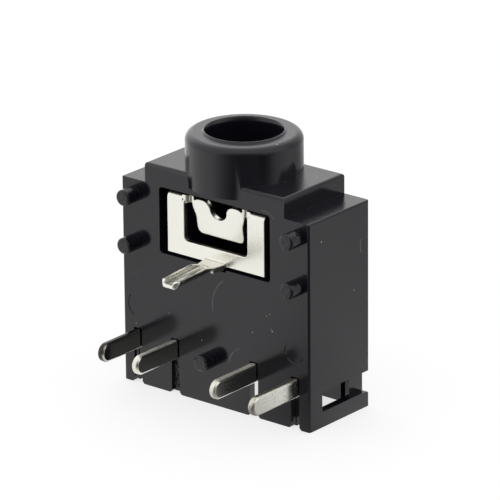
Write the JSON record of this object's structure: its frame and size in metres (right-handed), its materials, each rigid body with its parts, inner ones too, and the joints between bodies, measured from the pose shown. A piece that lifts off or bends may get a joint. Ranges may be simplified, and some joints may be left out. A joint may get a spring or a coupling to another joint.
{
  "type": "audio jack socket",
  "caption": "Right-angle stereo jack socket for a circuit board: black moulded housing with a round nose, a sprung sleeve contact in a window, and switched spring contacts on flat blades.",
  "frame": {"origin": "on the plug's axis, in the plane of the face that meets the panel, at the foot of the round nose", "axes": "+Z along the plug's axis out of the mouth, -Y towards the board, +X to the right seen from the board with the mouth up"},
  "size_m": [0.012, 0.009, 0.0139],
  "materials": {
    "housing": "black moulded thermoplastic, satin to semi-gloss",
    "contact": "bright tin or nickel plating over copper alloy sheet"
  },
  "bodies": {
    "root": {"housing": "housing", "sleeve_contact": "contact", "tip_spring": "contact", "tip_switch_contact": "contact", "ring_spring": "contact", "ring_switch_contact": "contact"}
  },
  "joints": []
}
